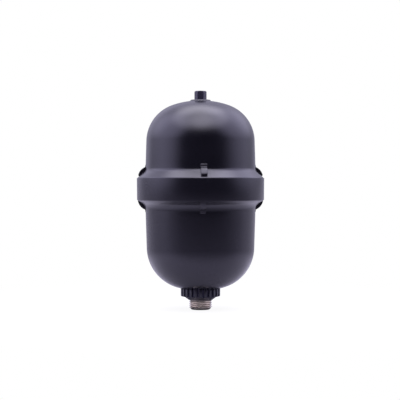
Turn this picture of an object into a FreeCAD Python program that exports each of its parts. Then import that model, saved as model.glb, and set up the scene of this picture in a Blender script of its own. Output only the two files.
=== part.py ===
import FreeCAD, Part
import math
import os
from FreeCAD import Vector

# Diaphragm expansion tank of about one litre, in millimetres, standing on the end of its water
# thread: +Z runs up the axis from the thread's end face to the cap of the charging valve.

# Water nipple and the fluted collar, upwards from the thread's end face
thread_r = 10.4775            # G 1/2, over the crests
thread_chamfer = 0.9
thread_free = 8.5             # free length of the thread below its relief groove
relief_h = 1.4
relief_depth = 1.28
nipple_wall = 2.2             # between the relief groove and the water way
nipple_hole_gap = 0.2         # round the nipple in the lower dome
collar_fit = 0.05             # round the nipple's thread
collar_rim_t = 0.45           # wall of the collar at its lower rim
collar_rim_lift = 0.4         # lower rim above the free thread
collar_cone_rise = 3.3        # underside of the flutes above the lower rim
collar_body_h = 6.65          # from the underside of the flutes to the dome's flat
collar_r = 18.05              # over the flutes
collar_core_r = 15.5          # at the foot of the flutes
collar_round = 0.6
collar_pad_inset = 0.3        # flat of the lower dome, inside the foot of the flutes
collar_dome_gap = 0.15
flute_count = 24
flute_tip_w = 2.3
flute_root_w = 2.9

# Head of the nipple inside the lower dome, and its ring
seat_rise = 0.9               # pad that the head lies on
head_h = 4.0
head_land = 0.9               # from the ring's groove to the flats
head_flat_cut = 1.8           # depth of the flats
head_key_w = 3.0              # bars of the dome beside the flats
head_key_h = 2.5
head_key_l = 14.0
groove_inset = 0.25           # from the nipple's hole to the ring's groove
o_ring_w = 2.4                # width of the squeezed ring
groove_depth = 2.0
squeeze_gap = 0.01

# Shells
lower_h = 91.35               # lower shell, from its flat to the joint plane
upper_h = 80.85               # upper shell, from the joint plane to the top of its crown
wall_r = 50.85                # outer wall radius, carried on to the joint plane
wall_t = 3.5                  # shell wall
draft_deg = 1.75              # both walls lean in, away from the joint
lower_knuckle_r = 38.2        # corner of the lower dome, outside
upper_knuckle_r = 35.3        # shoulder of the upper dome, outside
crown_r = 79.2                # crown of the upper dome, outside

# Flanges and the band moulded round them
band_h = 20.1                 # height of the band, half of it on each shell
flange_t = 3.3                # flange outside the rabbet of the bead
band_t = 3.9                  # thickness of the band at the joint plane
band_draft_deg = 0.6          # the band is widest at its top edge
band_top_round = 0.3
band_bottom_round = 0.3
lip_inset = 0.6               # rim that holds the band, inside the band's face
upper_lip_t = 1.3             # edge of the upper rim, which leans in
upper_lip_lean = 0.5
lower_lip_t = 0.2
upper_flare_deg = 31.0        # slope of the upper flare at its rim
lower_flare_deg = 35.0        # slope of the lower flare at its rim
upper_flare_round = 7.5       # hollow rounds between the flares and their walls
lower_flare_round = 5.0
key_h = 2.4                   # ridges of the band in the grooves of the flanges
key_depth = 0.9
key_z = 5.2                   # distance of a ridge from the joint plane

# Gusset ribs in the flares
rib_count = 4
upper_rib_w = 5.7
lower_rib_w = 5.0
upper_rib_rise = 10.0         # from the band to the far end of the curved back
lower_rib_rise = 8.8
upper_rib_inset = 0.6         # outer end of the back inside the rim's edge
lower_rib_inset = 0.2
rib_nose_r = 1.0              # round nose of an upper rib, which ends on the flare
rib_nose_rise = 2.75          # top of that nose above the band
rib_toe_t = 0.35              # thin foot on the wall beyond the curved back
rib_toe_land = 1.0
rib_toe_bevel = 1.5
rib_sink = 1.5                # depth of a rib's root in the shell wall
upper_rib_bulge = 1.2         # how far the back stands out from its chord
lower_rib_bulge = 1.5
upper_rib_turn_deg = 3.4
lower_rib_turn_deg = 2.4

# Diaphragm and what holds it
bead_w = 3.7
bead_h = 3.4
bead_drop = 4.9               # seat of the bead below the joint plane
seat_gap = 0.1                # clearance of seated pieces in their rabbets
clamp_rise = 3.0              # clamp ring above the joint plane
diaphragm_t = 1.5
diaphragm_gap = 0.5           # between the slack diaphragm and the lower wall
button_overlap = 2.5          # disc that closes the water port, past the port's edge
button_t = 1.3
button_stem_r = 2.5
button_head_r = 5.0
button_head_bevel = 1.0
button_gap = 0.1              # over the head of the water nipple

# Charging valve
boss_r = 8.7                  # raised ring round the cap
boss_rise = 0.55              # boss above the top of the crown
boss_round = 0.8
neck_overlap = 0.8            # thickening inside the crown, past the boss
neck_drop = 7.05              # its foot below the top of the crown
valve_thread_r = 3.85         # 8V1
valve_rise = 6.1              # mouth of the valve above the boss
valve_length = 23.7
valve_chamfer = 0.4
shank_step = 0.55             # shank over the thread
shank_drop = 0.3              # shank below the top of the boss
shank_fit = 0.02
valve_flange_inset = 1.5      # flange inside the edge of the thickening
valve_flange_h = 2.8
valve_tail_step = 0.45        # tail inside the thread
valve_ring_inset = 0.8        # from the shank to the ring's groove
valve_ring_w = 2.0
valve_groove_depth = 1.45
core_thread_r = 2.65          # hole for the core's plug
core_bore_r = 2.1
cone_top_r = 2.45

# Valve core; its depths are measured below the valve's mouth
core_fit = 0.05
plug_top = 0.8
plug_h = 4.2
plug_bridge_w = 1.7           # bar across the plug's top, which a key turns
plug_bridge_h = 1.6
plug_bore_r = 1.2
swivel_r = 1.5                # neck of the barrel in the plug
swivel_h = 1.1
seal_drop = 1.4               # seal below the plug
seal_h = 1.8
seal_inner_r = 1.5
cone_margin_top = 0.4         # cone of the valve beyond the seal
cone_margin_foot = 0.2
cone_thread_gap = 0.4         # between the cone and the plug's thread
barrel_r = 1.8
barrel_tail = 4.4             # barrel below its seal
barrel_floor_t = 1.2
barrel_room_r = 1.35
barrel_mouth_r = 0.95
pin_r = 0.5
pin_top = 0.2
pin_guide_gap = 0.1
pin_shoulder_r = 1.15
pin_shoulder_drop = 0.9       # shoulder below the plug
pin_shoulder_t = 0.4
cup_r = 1.7
cup_wall = 0.2
cup_gap = 0.2                 # rim of the cup below the barrel
cup_depth = 0.6
cup_base_t = 1.0
cup_seal_gap = 0.02
spring_wire_r = 0.12
spring_turns = 5
spring_r = 0.95
spring_end_gap = 0.03

# Cap of the charging valve
cap_wall = 0.95               # at the middle of the flats
cap_round = 1.5               # round of the top corners
cap_edge_round = 0.5
cap_foot_gap = 0.2            # over the boss
cap_top_t = 1.2
cap_thread_gap = 0.06
cap_gasket_inset = 0.3        # gasket inside the valve's thread
cap_gasket_t = 0.7
cap_gasket_gap = 0.05

# Heights and radii that follow from those above
collar_rim_z = thread_free + collar_rim_lift
collar_cone_z = collar_rim_z + collar_cone_rise
base_z = collar_cone_z + collar_body_h
joint_z = base_z + lower_h
crown_z = joint_z + upper_h
boss_top_z = crown_z + boss_rise
neck_z = crown_z - neck_drop
valve_top_z = boss_top_z + valve_rise
relief_r = thread_r - relief_depth
port_r = relief_r - nipple_wall
hole_r = thread_r + nipple_hole_gap
groove_in_r = hole_r + groove_inset
groove_out_r = groove_in_r + o_ring_w
head_flat_y = groove_out_r + head_land
head_r = head_flat_y + head_flat_cut
collar_pad_r = collar_core_r - collar_pad_inset
shank_r = valve_thread_r + shank_step
neck_r = boss_r + neck_overlap
draft = math.radians(draft_deg)
rabbet_r = wall_r - wall_t / math.cos(draft) - bead_drop * math.tan(draft) + bead_w
flange_r = rabbet_r + flange_t
band_r = flange_r + band_t
lip_r = band_r - lip_inset

axis_up = Vector(0, 0, 1)
origin = Vector(0, 0, 0)


def at(r, z):
    """Point of a meridian: radius r, height z."""
    return Vector(r, 0, z)


def line(start, end):
    return Part.LineSegment(start, end).toShape()


def arc_about(start, end, centre):
    """Short arc between two points that lie at the same distance from the centre."""
    middle = (start + end) * 0.5 - centre
    middle.normalize()
    return Part.Arc(start, centre + middle * (start - centre).Length, end).toShape()


def arc_bulged(start, end, bulge, side):
    """Arc whose middle stands out from its chord by bulge, towards side."""
    chord = end - start
    normal = chord.cross(Vector(0, 1, 0))
    normal.normalize()
    if normal.dot(side) < 0:
        normal = normal * -1
    return Part.Arc(start, (start + end) * 0.5 + normal * bulge, end).toShape()


def tangent_centre(point_a, normal_a, point_b, normal_b, distance):
    """Centre that lies at a distance from two lines, each given by a point and a unit normal."""
    reach_a = normal_a.dot(point_a) + distance
    reach_b = normal_b.dot(point_b) + distance
    spread = normal_a.x * normal_b.z - normal_a.z * normal_b.x
    r = (reach_a * normal_b.z - reach_b * normal_a.z) / spread
    z = (normal_a.x * reach_b - normal_b.x * reach_a) / spread
    return at(r, z)


def outline(points):
    """Straight edges that join the points in turn."""
    return [line(a, b) for a, b in zip(points, points[1:])]


def revolved(edges):
    return Part.Face(Part.Wire(edges)).revolve(origin, axis_up, 360)


def turned(points):
    """Solid of revolution from a closed outline of straight edges."""
    return revolved(outline(points + [points[0]]))


def tube(outer_r, inner_r, low_z, high_z):
    return turned([at(inner_r, low_z), at(outer_r, low_z), at(outer_r, high_z), at(inner_r, high_z)])


def squeezed_ring(ring_r, width, height, low_z):
    """Ring pressed flat between two faces: round sides, flat top and foot."""
    half = height / 2
    straight = (width - height) / 2
    inner = at(ring_r - straight, low_z + half)
    outer = at(ring_r + straight, low_z + half)
    edges = [
        line(inner - at(0, half), outer - at(0, half)),
        Part.Arc(outer - at(0, half), outer + at(half, 0), outer + at(0, half)).toShape(),
        line(outer + at(0, half), inner + at(0, half)),
        Part.Arc(inner + at(0, half), inner - at(half, 0), inner - at(0, half)).toShape(),
    ]
    return revolved(edges)


def around(shape, count, first_deg):
    """Copies of a shape, evenly spaced round the axis."""
    copies = []
    for index in range(count):
        copy = shape.copy()
        copy.rotate(origin, axis_up, first_deg + index * 360.0 / count)
        copies.append(copy)
    return copies


def wall_normal(side):
    """Outward normal of a shell's wall; side is 1 for the upper shell and -1 for the lower."""
    return Vector(math.cos(draft), 0, side * math.sin(draft))


def wall_point(side, z, inset=0.0):
    """Point of the wall at height z, inset from its outer face."""
    away = abs(z - joint_z)
    return at(wall_r - inset / math.cos(draft) - away * math.tan(draft), z)


def lip_top(side):
    """Edge between a flare's slope and the edge of its rim."""
    seat_z = joint_z + side * band_h / 2
    if side > 0:
        return at(lip_r - upper_lip_lean, seat_z + upper_lip_t)
    return at(lip_r, seat_z - lower_lip_t)


def flare_edges(side):
    """From the wall's end of the flare to its rim: hollow round, slope and the rim's edge."""
    slope = math.radians(upper_flare_deg if side > 0 else lower_flare_deg)
    hollow_r = upper_flare_round if side > 0 else lower_flare_round
    rim = lip_top(side)
    slope_normal = Vector(math.sin(slope), 0, side * math.cos(slope))
    wall = wall_point(side, rim.z)
    centre = tangent_centre(rim, slope_normal, wall, wall_normal(side), hollow_r)
    on_wall = centre - wall_normal(side) * hollow_r
    on_slope = centre - slope_normal * hollow_r
    return on_wall, [
        arc_about(on_wall, on_slope, centre),
        line(on_slope, rim),
        line(rim, at(lip_r, joint_z + side * band_h / 2)),
    ]


def key_corners(side):
    """Section of the ridge that ties band and flange, from its far corner to its near one."""
    far = key_z + key_h / 2
    near = key_z - key_h / 2
    slant = key_depth / 2
    return [
        at(flange_r, joint_z + side * far),
        at(flange_r - key_depth, joint_z + side * (far - slant)),
        at(flange_r - key_depth, joint_z + side * (near + slant)),
        at(flange_r, joint_z + side * near),
    ]


def flange_edges(side):
    """From the rim's inner face to the joint plane, with the groove that holds the band."""
    seat_z = joint_z + side * band_h / 2
    rim = [at(lip_r, seat_z), at(flange_r, seat_z)]
    return outline(rim + key_corners(side) + [at(flange_r, joint_z)])


def corner_centre(floor_z, inset, knuckle_r):
    """Centre of the round between a flat floor and the lower wall, inset from its outer face."""
    wall = wall_point(-1, floor_z, inset)
    return tangent_centre(at(0, floor_z), Vector(0, 0, -1), wall, wall_normal(-1), -knuckle_r)


def on_round(centre, radius, r):
    """Point at radius r on the underside of a round."""
    return at(r, centre.z - math.sqrt(radius ** 2 - (r - centre.x) ** 2))


def head_seat_z():
    """Flat inside the lower dome that the nipple's head lies on."""
    return base_z + wall_t + seat_rise


def head_top_z():
    return head_seat_z() + head_h


def lower_shell():
    centre = corner_centre(base_z, 0, lower_knuckle_r)
    inner_r = lower_knuckle_r - wall_t
    outer_tangent = centre + wall_normal(-1) * lower_knuckle_r
    inner_tangent = centre + wall_normal(-1) * inner_r
    collar_pad_top = on_round(centre, lower_knuckle_r, collar_pad_r)
    head_pad_r = head_r + seat_gap
    head_pad_foot = on_round(centre, inner_r, head_pad_r)
    on_wall, flare = flare_edges(-1)
    seat_z = joint_z - bead_drop
    seat_inner = wall_point(-1, seat_z, wall_t)
    edges = outline([
        head_pad_foot,
        at(head_pad_r, head_seat_z()),
        at(hole_r, head_seat_z()),
        at(hole_r, base_z),
        at(collar_pad_r, base_z),
        collar_pad_top,
    ])
    edges.append(arc_about(collar_pad_top, outer_tangent, centre))
    edges.append(line(outer_tangent, on_wall))
    edges += flare + flange_edges(-1)
    edges += outline([
        at(flange_r, joint_z),
        at(rabbet_r, joint_z),
        at(rabbet_r, seat_z),
        seat_inner,
        inner_tangent,
    ])
    edges.append(arc_about(inner_tangent, head_pad_foot, centre))
    shell = revolved(edges)
    shell = shell.fuse(around(rib(-1), rib_count, lower_rib_turn_deg - 90))
    for sign in (-1, 1):
        bar_y = sign * (head_flat_y + seat_gap + head_key_w / 2)
        bar = Part.makeBox(head_key_l, head_key_w, head_key_h + wall_t / 2)
        bar.translate(Vector(-head_key_l / 2, bar_y - head_key_w / 2, head_seat_z() - wall_t / 2))
        shell = shell.fuse(bar)
    return shell.removeSplitter()


def crown_centres():
    """Centres of the upper dome's crown and shoulder; the shoulder touches both crown and wall."""
    crown = at(0, crown_z - crown_r)
    reach = crown_r - upper_knuckle_r
    slope = math.tan(draft)
    start_r = wall_r - upper_knuckle_r / math.cos(draft)
    rise = joint_z - crown.z
    a = 1 + slope ** 2
    b = 2 * (rise - start_r * slope)
    c = start_r ** 2 + rise ** 2 - reach ** 2
    up = (-b + math.sqrt(b ** 2 - 4 * a * c)) / (2 * a)
    return crown, at(start_r - up * slope, joint_z + up)


def upper_shell():
    crown, shoulder = crown_centres()
    towards = shoulder - crown
    towards.normalize()
    outer_break = crown + towards * crown_r
    inner_break = crown + towards * (crown_r - wall_t)
    outer_tangent = shoulder + wall_normal(1) * upper_knuckle_r
    inner_tangent = shoulder + wall_normal(1) * (upper_knuckle_r - wall_t)
    boss_foot = at(boss_r, crown.z + math.sqrt(crown_r ** 2 - boss_r ** 2))
    inner_crown_r = crown_r - wall_t
    neck_top = at(neck_r, crown.z + math.sqrt(inner_crown_r ** 2 - neck_r ** 2))
    valve_hole_r = shank_r + shank_fit
    on_wall, flare = flare_edges(1)
    seat_z = joint_z + clamp_rise + seat_gap
    boss_in = at(boss_r - boss_round, boss_top_z)
    boss_out = at(boss_r, boss_top_z - boss_round)
    edges = outline([
        neck_top,
        at(neck_r, neck_z),
        at(valve_hole_r, neck_z),
        at(valve_hole_r, boss_top_z),
        boss_in,
    ])
    edges.append(arc_about(boss_in, boss_out, at(boss_in.x, boss_out.z)))
    edges.append(line(boss_out, boss_foot))
    edges.append(arc_about(boss_foot, outer_break, crown))
    edges.append(arc_about(outer_break, outer_tangent, shoulder))
    edges.append(line(outer_tangent, on_wall))
    edges += flare + flange_edges(1)
    edges += outline([
        at(flange_r, joint_z),
        at(rabbet_r, joint_z),
        at(rabbet_r, seat_z),
        wall_point(1, seat_z, wall_t),
        inner_tangent,
    ])
    edges.append(arc_about(inner_tangent, inner_break, shoulder))
    edges.append(arc_about(inner_break, neck_top, crown))
    shell = revolved(edges)
    shell = shell.fuse(around(rib(1), rib_count, upper_rib_turn_deg - 90))
    return shell.removeSplitter()


def upper_rib_front():
    """From the band's level up the round nose of an upper rib to the outer end of its back."""
    back = at(lip_r - upper_rib_inset, joint_z + band_h / 2 + rib_nose_rise)
    centre = back - at(rib_nose_r, 0)
    nose_foot = centre - at(0, rib_nose_r)
    edges = [line(at(nose_foot.x, joint_z + band_h / 2), nose_foot), arc_about(nose_foot, back, centre)]
    return edges, back


def lower_rib_front():
    """From the band's level to the outer end of a lower rib's back."""
    back = at(lip_r - lower_rib_inset, joint_z - band_h / 2 - lower_lip_t)
    return [line(at(back.x, joint_z - band_h / 2), back)], back


def rib(side):
    """Gusset rib on the +X side: curved back from the rim to the wall, then a thin foot."""
    seat_z = joint_z + side * band_h / 2
    edges, outer = upper_rib_front() if side > 0 else lower_rib_front()
    width = upper_rib_w if side > 0 else lower_rib_w
    bulge = upper_rib_bulge if side > 0 else lower_rib_bulge
    back_z = seat_z + side * (upper_rib_rise if side > 0 else lower_rib_rise)
    land_z = back_z + side * rib_toe_land
    toe_z = land_z + side * rib_toe_bevel
    back = wall_point(side, back_z, -rib_toe_t)
    edges.append(arc_bulged(outer, back, bulge, Vector(1, 0, side)))
    edges += outline([
        back,
        wall_point(side, land_z, -rib_toe_t),
        wall_point(side, toe_z),
        wall_point(side, toe_z, rib_sink),
        wall_point(side, seat_z, rib_sink),
        edges[0].Vertexes[0].Point,
    ])
    plate = Part.Face(Part.Wire(edges)).extrude(Vector(0, width, 0))
    plate.translate(Vector(0, -width / 2, 0))
    return plate


def band_outer(z):
    return at(band_r + (z - joint_z) * math.tan(math.radians(band_draft_deg)), z)


def joint_band():
    low = joint_z - band_h / 2
    high = joint_z + band_h / 2
    top = band_outer(high)
    foot = band_outer(low)
    inner = [at(flange_r, high)] + key_corners(1) + key_corners(-1)[::-1] + [at(flange_r, low)]
    foot_in = at(foot.x - band_bottom_round, low)
    foot_up = at(foot.x, low + band_bottom_round)
    top_down = at(top.x, high - band_top_round)
    top_in = at(top.x - band_top_round, high)
    edges = outline(inner + [foot_in])
    edges.append(arc_about(foot_in, foot_up, at(foot_in.x, foot_up.z)))
    edges.append(line(foot_up, top_down))
    edges.append(arc_about(top_down, top_in, at(top_in.x, top_down.z)))
    edges.append(line(top_in, at(flange_r, high)))
    return revolved(edges)


def diaphragm():
    """Slack rubber cup that lies along the lower shell, with its bead in the rabbet."""
    seat_z = joint_z - bead_drop
    top_z = seat_z + bead_h
    floor_z = head_top_z() + button_gap + button_t
    inset = wall_t + diaphragm_gap
    knuckle_r = lower_knuckle_r - inset
    centre = corner_centre(floor_z, inset, knuckle_r)
    outer_tangent = centre + wall_normal(-1) * knuckle_r
    inner_tangent = centre + wall_normal(-1) * (knuckle_r - diaphragm_t)
    outer_floor = at(centre.x, floor_z)
    inner_floor = at(centre.x, floor_z + diaphragm_t)
    bead_r = rabbet_r - seat_gap
    edges = [line(at(button_stem_r, floor_z), outer_floor), arc_about(outer_floor, outer_tangent, centre)]
    edges += outline([
        outer_tangent,
        wall_point(-1, seat_z, inset),
        at(bead_r, seat_z),
        at(bead_r, top_z),
        wall_point(-1, top_z, inset + diaphragm_t),
        inner_tangent,
    ])
    edges.append(arc_about(inner_tangent, inner_floor, centre))
    edges += outline([inner_floor, at(button_stem_r, inner_floor.z), at(button_stem_r, floor_z)])
    return revolved(edges)


def diaphragm_clamp_ring():
    low = joint_z - bead_drop + bead_h
    high = joint_z + clamp_rise
    outer = rabbet_r - seat_gap
    return turned([
        wall_point(-1, low, wall_t),
        at(outer, low),
        at(outer, high),
        wall_point(1, high, wall_t),
    ])


def diaphragm_button():
    low = head_top_z() + button_gap
    button_r = port_r + button_overlap
    stem_low = low + button_t
    stem_high = stem_low + diaphragm_t
    return turned([
        at(0, low),
        at(button_r, low),
        at(button_r, stem_low),
        at(button_stem_r, stem_low),
        at(button_stem_r, stem_high),
        at(button_head_r, stem_high),
        at(button_head_r - button_head_bevel, stem_high + button_t),
        at(0, stem_high + button_t),
    ])


def water_nipple():
    floor_z = head_seat_z()
    top_z = head_top_z()
    body = turned([
        at(port_r, 0),
        at(thread_r - thread_chamfer, 0),
        at(thread_r, thread_chamfer),
        at(thread_r, thread_free),
        at(relief_r, thread_free),
        at(relief_r, thread_free + relief_h),
        at(thread_r, thread_free + relief_h),
        at(thread_r, floor_z),
        at(groove_in_r, floor_z),
        at(groove_in_r, floor_z + groove_depth),
        at(groove_out_r, floor_z + groove_depth),
        at(groove_out_r, floor_z),
        at(head_r, floor_z),
        at(head_r, top_z - thread_chamfer),
        at(head_r - thread_chamfer, top_z),
        at(port_r, top_z),
    ])
    for sign in (-1, 1):
        waste = Part.makeBox(head_r * 2, head_r, head_h)
        low_y = head_flat_y if sign > 0 else -head_flat_y - head_r
        waste.translate(Vector(-head_r, low_y, floor_z))
        body = body.cut(waste)
    return body


def nipple_o_ring():
    ring_r = (groove_in_r + groove_out_r) / 2
    height = groove_depth - 2 * squeeze_gap
    return squeezed_ring(ring_r, o_ring_w - 2 * squeeze_gap, height, head_seat_z() + squeeze_gap)


def fluted_plan():
    """Plan of the collar: a round core with straight teeth, as one closed face."""
    pitch = 2 * math.pi / flute_count
    root_half = math.asin(flute_root_w / 2 / collar_core_r)
    tip_half = math.asin(flute_tip_w / 2 / collar_r)

    def on_circle(radius, angle):
        return Vector(radius * math.cos(angle), radius * math.sin(angle), 0)

    edges = []
    for index in range(flute_count):
        mid = index * pitch
        root_a = on_circle(collar_core_r, mid - root_half)
        tip_a = on_circle(collar_r, mid - tip_half)
        tip_b = on_circle(collar_r, mid + tip_half)
        root_b = on_circle(collar_core_r, mid + root_half)
        following = on_circle(collar_core_r, mid + pitch - root_half)
        edges.append(line(root_a, tip_a))
        edges.append(Part.Arc(tip_a, on_circle(collar_r, mid), tip_b).toShape())
        edges.append(line(tip_b, root_b))
        edges.append(Part.Arc(root_b, on_circle(collar_core_r, mid + pitch / 2), following).toShape())
    return Part.Face(Part.Wire(edges))


def fluted_collar():
    """Fluted back nut: flat face on the dome's pad, teeth that reach up to the dome."""
    centre = corner_centre(base_z, 0, lower_knuckle_r)
    clear_r = lower_knuckle_r + collar_dome_gap
    bore_r = thread_r + collar_fit
    pad_edge = collar_pad_r + seat_gap
    top_in = on_round(centre, clear_r, pad_edge)
    top_out = on_round(centre, clear_r, collar_r)
    edges = outline([
        top_in,
        at(pad_edge, base_z),
        at(bore_r, base_z),
        at(bore_r, collar_rim_z),
        at(bore_r + collar_rim_t, collar_rim_z),
        at(collar_core_r, collar_cone_z),
        at(collar_r - collar_round, collar_cone_z),
    ])
    low_in = at(collar_r - collar_round, collar_cone_z)
    low_out = at(collar_r, collar_cone_z + collar_round)
    edges.append(arc_about(low_in, low_out, at(low_in.x, low_out.z)))
    edges.append(line(low_out, top_out))
    edges.append(arc_about(top_out, top_in, centre))
    body = revolved(edges)
    prism = fluted_plan().extrude(axis_up * joint_z)
    return body.common(prism)


def depth(value):
    """Height of a point that lies at a depth below the valve's mouth."""
    return valve_top_z - value


# Depths of the valve core, downwards from the mouth
plug_foot = plug_top + plug_h
swivel_top = plug_foot - swivel_h
shoulder_top = plug_foot + pin_shoulder_drop
shoulder_foot = shoulder_top + pin_shoulder_t
seal_top = plug_foot + seal_drop
seal_foot = seal_top + seal_h
cone_top = seal_top - cone_margin_top
cone_foot = seal_foot + cone_margin_foot
barrel_foot = seal_foot + barrel_tail
room_foot = barrel_foot - barrel_floor_t
cup_top = barrel_foot + cup_gap
cup_floor = cup_top + cup_depth
pin_foot = cup_floor + cup_base_t


def cone_r(value):
    """Radius of the seal's cone in the valve at a depth below its mouth."""
    share = (value - cone_top) / (cone_foot - cone_top)
    return cone_top_r + share * (core_bore_r - cone_top_r)


def valve_body():
    """Brass body put in from the inside: its flange draws the ring against the crown."""
    flange_foot = neck_z - valve_flange_h
    flange_r_out = neck_r - valve_flange_inset
    groove_in = shank_r + valve_ring_inset
    groove_out = groove_in + valve_ring_w
    tail_r = valve_thread_r - valve_tail_step
    shank_top = boss_top_z - shank_drop
    return turned([
        at(core_thread_r, valve_top_z),
        at(valve_thread_r - valve_chamfer, valve_top_z),
        at(valve_thread_r, valve_top_z - valve_chamfer),
        at(valve_thread_r, shank_top),
        at(shank_r, shank_top),
        at(shank_r, neck_z),
        at(groove_in, neck_z),
        at(groove_in, neck_z - valve_groove_depth),
        at(groove_out, neck_z - valve_groove_depth),
        at(groove_out, neck_z),
        at(flange_r_out, neck_z),
        at(flange_r_out, flange_foot),
        at(tail_r, flange_foot),
        at(tail_r, depth(valve_length)),
        at(core_bore_r, depth(valve_length)),
        at(core_bore_r, depth(cone_foot)),
        at(cone_top_r, depth(cone_top)),
        at(core_thread_r, depth(cone_top - cone_thread_gap)),
    ])


def valve_o_ring():
    ring_r = shank_r + valve_ring_inset + valve_ring_w / 2
    height = valve_groove_depth - 2 * squeeze_gap
    low = neck_z - valve_groove_depth + squeeze_gap
    return squeezed_ring(ring_r, valve_ring_w - 2 * squeeze_gap, height, low)


def core_plug():
    """Threaded plug with a bar across its top and a socket for the barrel's neck below."""
    outer = core_thread_r - core_fit
    bar_foot = plug_top + plug_bridge_h
    body = turned([
        at(pin_r + pin_guide_gap, depth(plug_top)),
        at(outer, depth(plug_top)),
        at(outer, depth(plug_foot)),
        at(swivel_r, depth(plug_foot)),
        at(swivel_r, depth(swivel_top)),
        at(plug_bore_r, depth(swivel_top)),
        at(plug_bore_r, depth(bar_foot)),
        at(pin_r + pin_guide_gap, depth(bar_foot)),
    ])
    for sign in (-1, 1):
        side = Part.makeBox(outer * 2, outer, plug_bridge_h)
        low_y = plug_bridge_w / 2 if sign > 0 else -plug_bridge_w / 2 - outer
        side.translate(Vector(-outer, low_y, depth(bar_foot)))
        body = body.cut(side)
    return body


def core_barrel():
    return turned([
        at(barrel_room_r, depth(swivel_top)),
        at(swivel_r, depth(swivel_top)),
        at(swivel_r, depth(plug_foot)),
        at(barrel_r, depth(plug_foot)),
        at(barrel_r, depth(seal_top)),
        at(seal_inner_r, depth(seal_top)),
        at(seal_inner_r, depth(seal_foot)),
        at(barrel_r, depth(seal_foot)),
        at(barrel_r, depth(barrel_foot)),
        at(barrel_mouth_r, depth(barrel_foot)),
        at(barrel_mouth_r, depth(room_foot)),
        at(barrel_room_r, depth(room_foot)),
    ])


def core_seal_ring():
    return turned([
        at(seal_inner_r, depth(seal_top)),
        at(cone_r(seal_top) - core_fit, depth(seal_top)),
        at(cone_r(seal_foot) - core_fit, depth(seal_foot)),
        at(seal_inner_r, depth(seal_foot)),
    ])


def valve_pin():
    return turned([
        at(0, depth(pin_top)),
        at(pin_r, depth(pin_top)),
        at(pin_r, depth(shoulder_top)),
        at(pin_shoulder_r, depth(shoulder_top)),
        at(pin_shoulder_r, depth(shoulder_foot)),
        at(pin_r, depth(shoulder_foot)),
        at(pin_r, depth(pin_foot)),
        at(0, depth(pin_foot)),
    ])


def pin_cup():
    return turned([
        at(pin_r, depth(cup_floor)),
        at(cup_r - cup_wall, depth(cup_floor)),
        at(cup_r - cup_wall, depth(cup_top)),
        at(cup_r, depth(cup_top)),
        at(cup_r, depth(pin_foot - cup_wall)),
        at(cup_r - cup_wall, depth(pin_foot)),
        at(pin_r, depth(pin_foot)),
    ])


def pin_cup_seal():
    return tube(cup_r - cup_wall, pin_r, depth(cup_floor), depth(barrel_foot + cup_seal_gap))


def valve_spring():
    """Coil spring between the pin's shoulder and the floor of the barrel's room."""
    top = depth(shoulder_foot) - spring_wire_r - spring_end_gap
    foot = depth(room_foot) + spring_wire_r + spring_end_gap
    height = top - foot
    path = Part.makeHelix(height / spring_turns, height, spring_r)
    wire_end = Part.Circle(Vector(spring_r, 0, 0), Vector(0, 1, 0), spring_wire_r)
    coil = Part.Wire(path.Edges).makePipeShell([Part.Wire([wire_end.toShape()])], True, True)
    coil.translate(axis_up * foot)
    return coil


def cap_room_top():
    """Ceiling of the cap's thread, on the gasket that lies on the valve's mouth."""
    return valve_top_z + cap_gasket_t + 2 * cap_gasket_gap


def valve_cap():
    """Hexagonal screw cap: two flats face front and back, the top corners are rounded."""
    foot = boss_top_z + cap_foot_gap
    top = cap_room_top() + cap_top_t
    room_r = valve_thread_r + cap_thread_gap
    corner_r = (room_r + cap_wall) / math.cos(math.pi / 6)
    corners = []
    for index in range(6):
        angle = index * math.pi / 3
        corners.append(Vector(corner_r * math.cos(angle), corner_r * math.sin(angle), foot))
    prism = Part.Face(Part.makePolygon(corners + [corners[0]])).extrude(axis_up * (top - foot))
    upright = [edge for edge in prism.Edges if edge.BoundBox.ZLength > cap_edge_round]
    prism = prism.makeFillet(cap_edge_round, upright)
    side_in = at(corner_r - cap_round, top)
    side_down = at(corner_r, top - cap_round)
    edges = outline([at(0, foot), at(corner_r, foot), side_down])
    edges.append(arc_about(side_down, side_in, at(side_in.x, side_down.z)))
    edges += outline([side_in, at(0, top), at(0, foot)])
    body = prism.common(revolved(edges))
    return body.cut(Part.makeCylinder(room_r, cap_room_top() - foot, at(0, foot)))


def cap_gasket():
    foot = valve_top_z + cap_gasket_gap
    return Part.makeCylinder(valve_thread_r - cap_gasket_inset, cap_gasket_t, at(0, foot))


parts = {
    "lower_shell": lower_shell,
    "upper_shell": upper_shell,
    "joint_band": joint_band,
    "diaphragm": diaphragm,
    "diaphragm_clamp_ring": diaphragm_clamp_ring,
    "diaphragm_button": diaphragm_button,
    "water_nipple": water_nipple,
    "nipple_o_ring": nipple_o_ring,
    "fluted_collar": fluted_collar,
    "valve_body": valve_body,
    "valve_o_ring": valve_o_ring,
    "core_plug": core_plug,
    "core_barrel": core_barrel,
    "core_seal_ring": core_seal_ring,
    "valve_pin": valve_pin,
    "pin_cup": pin_cup,
    "pin_cup_seal": pin_cup_seal,
    "valve_spring": valve_spring,
    "valve_cap": valve_cap,
    "cap_gasket": cap_gasket,
}

os.makedirs("parts", exist_ok=True)
for name, make in parts.items():
    shape = make()
    if shape.ShapeType == "Compound" and len(shape.Solids) == 1:
        shape = shape.Solids[0]
    shape.exportStep("parts/" + name + ".step")
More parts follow.
